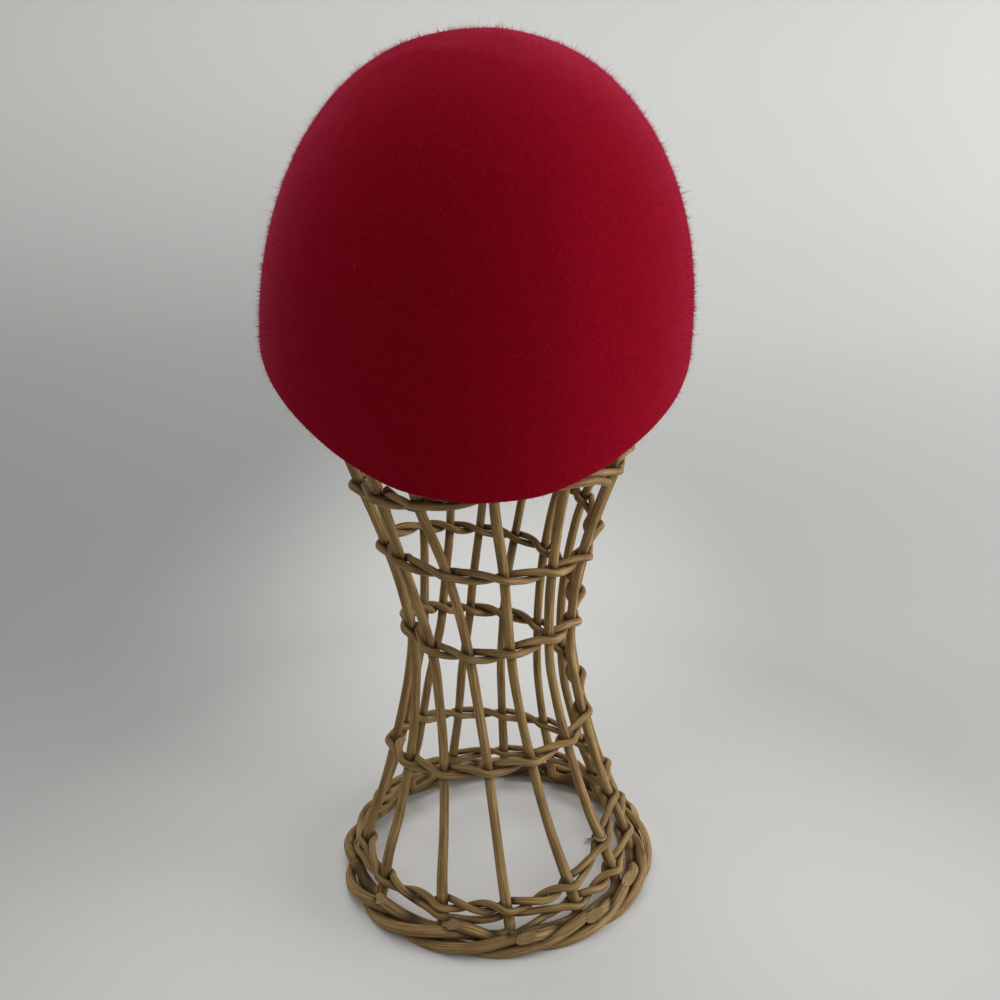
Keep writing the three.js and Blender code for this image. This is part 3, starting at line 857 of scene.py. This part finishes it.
def cap_point(bearing, part):
    """Cap surface with its folds, set a little askew on the stand."""
    flat, height = crown_point(bearing, part)
    from_nape = (bearing + 180) % 360 - 180
    from_tip = np.hypot(flat[..., 0], flat[..., 1])
    off_crease = from_tip - through(CAP_CREASE["bearing"], CAP_CREASE["from_tip"], from_nape)
    off_crease = np.hypot(off_crease, CAP_CREASE_ROUNDING) - CAP_CREASE_ROUNDING
    crease = through(CAP_CREASE["bearing"], CAP_CREASE["height"], from_nape)
    dents = -crease * np.exp(-off_crease / CAP_CREASE_SPREAD)
    for fold in CAP_FOLDS:
        away = np.hypot(flat[..., 0] - fold["x"], flat[..., 1] - fold["y"]) / fold["spread"]
        dents += fold["depth"] * np.exp(-away * away)
    for bulge in CAP_BULGES:
        beside = ((from_nape - bulge["bearing"] + 180) % 360 - 180) / bulge["reach"]
        beyond = (height - bulge["height"]) / bulge["spread"]
        out = bulge["out"] * np.exp(-beside * beside - beyond * beyond)
        flat = flat * (1 + out / np.maximum(from_tip, 1))[..., None]
    above = np.clip((height - CAP_WIDEST) / (CAP_TOP - CAP_WIDEST) * CAP_FOLDS_FADE, 0, 1)
    height = height - dents * above - CAP_WIDEST
    lean = math.radians(CAP_LEAN)
    x = CAP_SHIFT + flat[..., 0] * math.cos(lean) + height * math.sin(lean)
    z = CAP_WIDEST - flat[..., 0] * math.sin(lean) + height * math.cos(lean)
    return np.stack([x, flat[..., 1], z], -1)


def cap_rows():
    """Rows of points from the tip down the outer skin, round the cut edge and up the inner skin."""
    bearing = np.linspace(0, 360, CAP_COLUMNS, endpoint=False)

    def frame_at(part):
        part = np.full_like(bearing, part)
        down = unit(cap_point(bearing, part + CAP_STEP_DOWN) - cap_point(bearing, part - CAP_STEP_DOWN))
        across = cap_point(bearing + CAP_STEP_ROUND, part) - cap_point(bearing - CAP_STEP_ROUND, part)
        return cap_point(bearing, part), down, unit(np.cross(down, across))

    outer_parts = np.linspace(0, CAP_LAST_PART, CAP_ROWS + 1)[1:]
    rows = [cap_point(bearing, np.full_like(bearing, part)) for part in outer_parts]
    place, down, out = frame_at(CAP_LAST_PART)
    half = CAP_WALL / 2
    for turn in np.linspace(0, math.pi, CAP_EDGE_STEPS + 1)[1:]:
        rows.append(place - out * half + out * half * math.cos(turn) + down * half * math.sin(turn))
    inner_parts = np.linspace(CAP_LAST_PART, 0, CAP_INNER_ROWS + 1)[1:-1]
    for part in inner_parts:
        place, down, out = frame_at(part)
        rows.append(place - out * CAP_WALL)
    return rows


def make_cap_mesh():
    """Outer skin, cut edge and inner skin in one closed mesh. Its outer points are marked for the nap."""
    rows = cap_rows()
    tip = cap_point(np.zeros(1), np.zeros(1))
    lean_up = np.array([math.sin(math.radians(CAP_LEAN)), 0, math.cos(math.radians(CAP_LEAN))])
    points = np.concatenate([tip, *rows, tip - lean_up * CAP_WALL]) * MM + STAND_AXIS
    last = len(points) - 1
    faces = []
    for column in range(CAP_COLUMNS):
        beside = (column + 1) % CAP_COLUMNS
        faces.append((0, 1 + column, 1 + beside))
        for row in range(len(rows) - 1):
            upper, lower = 1 + row * CAP_COLUMNS, 1 + (row + 1) * CAP_COLUMNS
            faces.append((upper + column, lower + column, lower + beside, upper + beside))
        final = 1 + (len(rows) - 1) * CAP_COLUMNS
        faces.append((last, final + beside, final + column))
    mesh = bpy.data.meshes.new("cap_felt")
    mesh.from_pydata(points, [], faces)
    outside = np.zeros(len(points), np.float32)
    outside[: 1 + (CAP_ROWS + CAP_EDGE_STEPS // 2) * CAP_COLUMNS] = 1
    mesh.attributes.new("outside", "FLOAT", "POINT").data.foreach_set("value", outside)
    mesh.shade_smooth()
    return mesh


def make_felt():
    """Brushed wool felt: deep crimson, mottled nap, a pink bloom at glancing angles and specks of lint."""
    deep = (0.2, 0.0013, 0.0066, 1)
    bright = (0.258, 0.0027, 0.0118, 1)
    bloom = (0.4, 0.014, 0.042, 1)
    lint = (0.62, 0.32, 0.3, 1)
    brushed_down = (1.0, 1.0, 0.55)
    material, tree, shader = new_material("felt", {
        "Roughness": 0.75, "Specular IOR Level": 0.0, "Sheen Weight": 0.26, "Sheen Roughness": 0.42,
        "Sheen Tint": (1.0, 0.19, 0.39, 1)})
    place = tree.nodes.new("ShaderNodeTexCoord").outputs["Object"]
    upright = add_node(tree, "ShaderNodeMapping", {"Vector": place, "Scale": brushed_down}).outputs[0]
    clouds = noise(tree, place, scale=45.0, detail=3.0)
    mottle = noise(tree, place, scale=600.0, detail=3.0, roughness=0.6)
    brushed = noise(tree, upright, scale=900.0, roughness=0.6)
    fluff = noise(tree, place, scale=1900.0, roughness=0.6)
    mottle_part = math_node(tree, "MULTIPLY", mottle, 0.6)
    nap = math_node(tree, "ADD", mottle_part, math_node(tree, "MULTIPLY", brushed, 0.4))
    specks = add_node(tree, "ShaderNodeTexVoronoi", {"Vector": place, "Scale": 75.0}).outputs
    is_near = stepped(tree, specks["Distance"], 0.022, 0.03, 1.0, 0.0)
    chosen = add_node(tree, "ShaderNodeSeparateXYZ", {0: specks["Color"]}).outputs[0]
    speck = math_node(tree, "MULTIPLY", is_near, stepped(tree, chosen, 0.9, 0.91))
    color = stained(tree, deep, [
        {"by": nap, "start": 0.3, "full": 0.7, "share": 1.0, "color": bright},
        {"by": clouds, "start": 0.35, "full": 0.7, "share": 0.25, "color": bright},
        {"by": fluff, "start": 0.56, "full": 0.8, "share": 0.3, "color": bloom},
        {"by": speck, "start": 0.0, "full": 1.0, "share": 1.0, "color": lint},
    ])
    tree.links.new(color, shader.inputs["Base Color"])
    relief = math_node(tree, "ADD", brushed, math_node(tree, "MULTIPLY", fluff, 0.5))
    bump = add_node(tree, "ShaderNodeBump", {"Height": relief, "Strength": 0.3, "Distance": 0.00025})
    tree.links.new(bump.outputs[0], shader.inputs["Normal"])
    return material


cap_felt = put_in_scene("cap_felt", make_cap_mesh())
cap_felt.data.materials.append(make_felt())
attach(cap_felt, "root")
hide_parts("felt_cap")


# Nap of the felt
# Loose wool fibres stand up from the brushed felt: a short dense fuzz all over, and longer single hairs that
# show along the outline. Each fibre is a narrow tapered ribbon, bent over a little towards its tip.
HAIR_WIDTH = 0.09
HAIR_BEND = 0.35
HAIR_TAPER = 0.5
HAIR_JOINTS = 2

# Fibres to a square metre, shortest and longest one, widening, and the most that one leans over, in radians
NAPS = [
    {"name": "short_nap", "density": 780_000, "length": (0.5, 2.2), "width": 1.3, "lean": 1.25, "seed": 3},
    {"name": "long_nap", "density": 60_000, "length": (1.4, 5.6), "width": 1.2, "lean": 1.4, "seed": 7},
]


def make_hair_shape():
    """One fibre, a unit high, narrowing to its tip and bending over."""
    points = []
    for joint in range(HAIR_JOINTS):
        height = joint / HAIR_JOINTS
        half = HAIR_WIDTH / 2 * (1 - HAIR_TAPER * height)
        lean = HAIR_BEND * height**2
        points += [(-half * MM, lean * MM, height * MM), (half * MM, lean * MM, height * MM)]
    points.append((0, HAIR_BEND * MM, MM))
    faces = [(2 * i, 2 * i + 1, 2 * i + 3, 2 * i + 2) for i in range(HAIR_JOINTS - 1)]
    faces.append((2 * HAIR_JOINTS - 2, 2 * HAIR_JOINTS - 1, 2 * HAIR_JOINTS))
    mesh = bpy.data.meshes.new("hair_shape")
    mesh.from_pydata(points, [], faces)
    mesh.shade_smooth()
    return put_in_scene("hair_shape", mesh)


def chance_between(tree, low, high, seed):
    """Random value of its own for each fibre."""
    inputs = {2: low, 3: high, "Seed": seed}
    return add_node(tree, "FunctionNodeRandomValue", inputs, data_type="FLOAT").outputs[1]


def make_nap_tree():
    """Fibres scattered in loose tufts over the outer skin, each with its own length, lean and tone."""
    turn_seed, tilt_seed, tone_seed = 11, 12, 13
    many_short = 2.0
    tree, given = open_tree("felt_nap", {
        "Geometry": "Geometry", "Fibre": "Object", "Density": "Float", "Shortest": "Float",
        "Longest": "Float", "Width": "Float", "Lean": "Float", "Seed": "Int", "Material": "Material",
    })
    place = tree.nodes.new("GeometryNodeInputPosition").outputs[0]
    tufts = stepped(tree, noise(tree, place, scale=140.0), 0.4, 0.66, 0.55, 1.5)
    scattered = add_node(tree, "GeometryNodeDistributePointsOnFaces", {
        "Mesh": given["Geometry"], "Selection": named(tree, "outside"),
        "Density": math_node(tree, "MULTIPLY", given["Density"], tufts), "Seed": given["Seed"]})
    chance = math_node(tree, "POWER", chance_between(tree, 0.0, 1.0, given["Seed"]), many_short)
    length = stepped(tree, chance, 0.0, 1.0, given["Shortest"], given["Longest"])
    turn = chance_between(tree, 0.0, 2 * math.pi, turn_seed)
    tilt = chance_between(tree, 0.0, given["Lean"], tilt_seed)
    spin = add_node(tree, "ShaderNodeCombineXYZ", {"X": tilt, "Z": turn}).outputs[0]
    around = add_node(tree, "FunctionNodeEulerToRotation", {0: spin}).outputs[0]
    facing = add_node(tree, "FunctionNodeRotateRotation", {
        "Rotation": scattered.outputs["Rotation"], "Rotate By": around}, rotation_space="LOCAL").outputs[0]
    shape = add_node(tree, "GeometryNodeObjectInfo", {"Object": given["Fibre"]}).outputs["Geometry"]
    size = add_node(tree, "ShaderNodeCombineXYZ", {
        "X": given["Width"], "Y": length, "Z": length}).outputs[0]
    fibres = add_node(tree, "GeometryNodeInstanceOnPoints", {
        "Points": scattered.outputs["Points"], "Instance": shape, "Rotation": facing,
        "Scale": size}).outputs[0]
    fibres = store(tree, fibres, "tone", chance_between(tree, 0.0, 1.0, tone_seed), "FLOAT", "INSTANCE")
    close_tree(tree, fibres, given["Material"])
    return tree


def make_fibre():
    """Single wool fibres: the felt's crimson, some paler, so thin that half the light passes through."""
    dark = (0.29, 0.0035, 0.0155, 1)
    pale = (0.53, 0.0165, 0.051, 1)
    passing = 0.5
    material, tree, shader = new_material("felt_fibre", {"Roughness": 0.8, "Specular IOR Level": 0.0})
    color = mix_colors(tree, kept_value(tree, "tone"), dark, pale)
    tree.links.new(color, shader.inputs["Base Color"])
    passed = add_node(tree, "ShaderNodeBsdfTranslucent", {"Color": color})
    halves = add_node(tree, "ShaderNodeMixShader", {
        0: passing, 1: shader.outputs[0], 2: passed.outputs[0]})
    tree.links.new(halves.outputs[0], tree.nodes["Material Output"].inputs["Surface"])
    return material


hair_shape = make_hair_shape()
nap_tree = make_nap_tree()
fibre = make_fibre()
for kind in NAPS:
    nap = put_in_scene(kind["name"], cap_felt.data.copy())
    shortest, longest = kind["length"]
    as_plain_mesh(nap, nap_tree, {
        "Fibre": hair_shape, "Density": float(kind["density"]), "Shortest": shortest, "Longest": longest,
        "Width": kind["width"], "Lean": kind["lean"], "Seed": kind["seed"], "Material": fibre})
    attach(nap, "root")
bpy.data.objects.remove(hair_shape)


# Floor and backdrop
# A pale sweep of paper lies under the stand and curves up behind it. Light and shade are painted into its
# colour: painted light inside and close round the foot and behind the waist of the stand, painted shade in
# its bend, more to the left, and painted light towards its top.
SWEEP_HALF_WIDTH = 2.6
SWEEP_FRONT = -1.6
SWEEP_BEND_START = 0.14
SWEEP_BEND_RADIUS = 0.65
SWEEP_BEND_STEPS = 24
SWEEP_TOP = 2.2

# Painted light and shade of the paper, from the front of the floor to the upright part behind: painted shade
# in the bend and painted light towards the top
PAPER_LIGHT_AND_SHADE = {
    "depth": [-0.6, -0.25, -0.08, 0.0, 0.11, 0.27, 0.42, 0.56, 0.665, 0.74, 0.79],
    "tone": [0.41, 0.43, 0.45, 0.41, 0.335, 0.325, 0.32, 0.37, 0.47, 0.57, 0.65],
}

# Painted shade by side: how far the tone of the bend is painted darker on the left and lighter on the right,
# between which places, and where along the depth this holds
PAINTED_SIDE_SHADE = 0.2
PAPER_SIDE_X = (-0.2, 0.15)
PAPER_SIDE_IN = (0.06, 0.24)
PAPER_SIDE_ON_FLOOR = 0.36
PAPER_SIDE_OUT = (0.78, 0.6)

# Painted pools of light: paler paper inside the foot and close round it, by the distance from the middle,
# and behind the waist
PAINTED_LIGHT_INSIDE_FOOT = 1.3
PAPER_INSIDE_REACH = (0.05, 0.09)
PAINTED_LIGHT_ROUND_FOOT = 1.4
PAPER_ROUND_REACH = (0.09, 0.27)
PAINTED_LIGHT_BEHIND = 1.71
PAPER_BEHIND_PLACE = (-0.04, 0.31, 0.0)
PAPER_BEHIND_SPREAD = (0.285, 0.26, 1.0)


def make_sweep():
    """Flat floor, a quarter round bend and an upright part, in one strip."""
    profile = [(SWEEP_FRONT, 0.0)]
    for turn in np.linspace(0, math.pi / 2, SWEEP_BEND_STEPS + 1):
        rise = SWEEP_BEND_RADIUS * (1 - math.cos(turn))
        profile.append((SWEEP_BEND_START + SWEEP_BEND_RADIUS * math.sin(turn), rise))
    profile.append((SWEEP_BEND_START + SWEEP_BEND_RADIUS, SWEEP_TOP))
    points = [(side * SWEEP_HALF_WIDTH, y, z) for y, z in profile for side in (-1, 1)]
    faces = [(2 * i, 2 * i + 1, 2 * i + 3, 2 * i + 2) for i in range(len(profile) - 1)]
    mesh = bpy.data.meshes.new("sweep")
    mesh.from_pydata(points, [], faces)
    mesh.shade_smooth()
    return put_in_scene("sweep", mesh)


def paint_paper_light_and_shade():
    """Pale matt paper with painted light and shade: soft paler and dimmer areas, painted as the light falls
    on it round the stand.
    """
    tint = (1.0, 0.997, 0.967)
    even = (1, 1, 1, 1)
    material, tree, shader = new_material("paper", {"Roughness": 0.85})
    place = tree.nodes.new("ShaderNodeTexCoord").outputs["Object"]
    parts = add_node(tree, "ShaderNodeSeparateXYZ", {0: place}).outputs
    first, last = PAPER_LIGHT_AND_SHADE["depth"][0], PAPER_LIGHT_AND_SHADE["depth"][-1]
    # painted shade in the bend and painted light towards the top, by depth
    ramp = add_node(tree, "ShaderNodeValToRGB", {"Fac": stepped(tree, parts["Y"], first, last)})
    ramp.color_ramp.interpolation = "B_SPLINE"
    stops = ramp.color_ramp.elements
    for depth in PAPER_LIGHT_AND_SHADE["depth"][1:-1]:
        stops.new((depth - first) / (last - first))
    for stop, tone in zip(stops, PAPER_LIGHT_AND_SHADE["tone"]):
        stop.color = [part * tone for part in tint] + [1]
    # painted shade on the left of the bend and painted light on its right
    side = stepped(tree, parts["X"], *PAPER_SIDE_X, 1 - PAINTED_SIDE_SHADE, 1 + PAINTED_SIDE_SHADE)
    bent = stepped(tree, parts["Y"], *PAPER_SIDE_IN, PAPER_SIDE_ON_FLOOR, 1.0)
    bent = math_node(tree, "MULTIPLY", bent, stepped(tree, parts["Y"], *PAPER_SIDE_OUT))
    flat = add_node(tree, "ShaderNodeCombineXYZ", {"X": parts["X"], "Y": parts["Y"]}).outputs[0]
    # painted pools of light inside and round the foot and behind the waist of the stand
    from_stand = vector_math(tree, "LENGTH", flat)
    inside = stepped(tree, from_stand, *PAPER_INSIDE_REACH, PAINTED_LIGHT_INSIDE_FOOT, 1.0)
    around = stepped(tree, from_stand, *PAPER_ROUND_REACH, PAINTED_LIGHT_ROUND_FOOT, 1.0)
    aside = vector_math(tree, "SUBTRACT", flat, PAPER_BEHIND_PLACE)
    aside = vector_math(tree, "LENGTH", vector_math(tree, "DIVIDE", aside, PAPER_BEHIND_SPREAD))
    behind = add_node(tree, "ShaderNodeMapRange", {
        "Value": aside, "From Min": 0.0, "From Max": 1.0, "To Min": PAINTED_LIGHT_BEHIND, "To Max": 1.0},
        interpolation_type="SMOOTHSTEP").outputs[0]
    paler = math_node(tree, "MULTIPLY", math_node(tree, "MULTIPLY", inside, around), behind)
    balance = mix_colors(tree, 1.0, mix_colors(tree, bent, even, side), paler, "MULTIPLY")
    color = mix_colors(tree, 1.0, ramp.outputs["Color"], balance, "MULTIPLY")
    tree.links.new(color, shader.inputs["Base Color"])
    return material


sweep = make_sweep()
sweep.data.materials.append(paint_paper_light_and_shade())


# Light and camera
# A broad soft light stands low on the right, a smaller one hangs overhead, and a weak warm one fills in from
# the left. A sky-like glow is brightest overhead. The camera stands lower than the cap's tip and looks down.
LIGHTS = [
    {"name": "key", "place": (1.4, -0.1, 0.36), "size": 1.3, "power": 21.2, "color": (1.0, 1.0, 1.0)},
    {"name": "top", "place": (-0.15, 0.42, 1.3), "size": 0.9, "power": 6.0, "color": (1.0, 1.0, 1.0)},
    {"name": "fill", "place": (-1.9, 0.6, 0.75), "size": 1.3, "power": 5.0, "color": (1.0, 0.78, 0.73)},
]
AIM = Vector((0, 0, 0.22))
for light in LIGHTS:
    lamp_data = bpy.data.lights.new(light["name"], "AREA")
    lamp_data.shape = "DISK"
    lamp_data.size = light["size"]
    lamp_data.energy = light["power"]
    lamp_data.color = light["color"]
    lamp = put_in_scene(light["name"], lamp_data)
    lamp.location = light["place"]
    lamp.rotation_euler = (AIM - lamp.location).to_track_quat("-Z", "Y").to_euler()

GLOW = (0.97, 0.985, 1.0, 1)
GLOW_OVERHEAD = 1.04
GLOW_RIGHT = 0.12
GLOW_RIGHT_FROM = 0.1
GLOW_SEEN = 0.5
world = bpy.data.worlds.new("glow")
world.use_nodes = True
sky = world.node_tree
direction = sky.nodes.new("ShaderNodeTexCoord").outputs["Generated"]
heading = add_node(sky, "ShaderNodeSeparateXYZ", {0: direction}).outputs
overhead = stepped(sky, heading["Z"], 0.0, 1.0, 0.0, GLOW_OVERHEAD)
from_right = stepped(sky, heading["X"], GLOW_RIGHT_FROM, 1.0, 0.0, GLOW_RIGHT)
glow = math_node(sky, "ADD", overhead, from_right)
is_seen = sky.nodes.new("ShaderNodeLightPath").outputs["Is Camera Ray"]
strength = add_node(sky, "ShaderNodeMix", {0: is_seen, 2: glow, 3: GLOW_SEEN}, data_type="FLOAT").outputs[0]
background = sky.nodes["Background"]
background.inputs["Color"].default_value = GLOW
sky.links.new(strength, background.inputs["Strength"])
bpy.context.scene.world = world
bpy.context.scene.view_settings.view_transform = "Standard"

CAMERA_FROM_AXIS = np.array([5.5, -423.0, 306.0])
CAMERA_PITCH = 16.0
CAMERA_ROLL = 1.26
CAMERA_LENS = 34.92
CAMERA_SENSOR = 36
camera_data = bpy.data.cameras.new("front_view")
camera_data.lens = CAMERA_LENS
camera_data.sensor_width = CAMERA_SENSOR
camera = put_in_scene("front_view", camera_data)
camera.location = CAMERA_FROM_AXIS * MM + STAND_AXIS
looking_down = Matrix.Rotation(math.radians(90 - CAMERA_PITCH), 3, "X")
camera.rotation_euler = (looking_down @ Matrix.Rotation(math.radians(-CAMERA_ROLL), 3, "Z")).to_euler()
bpy.context.scene.camera = camera
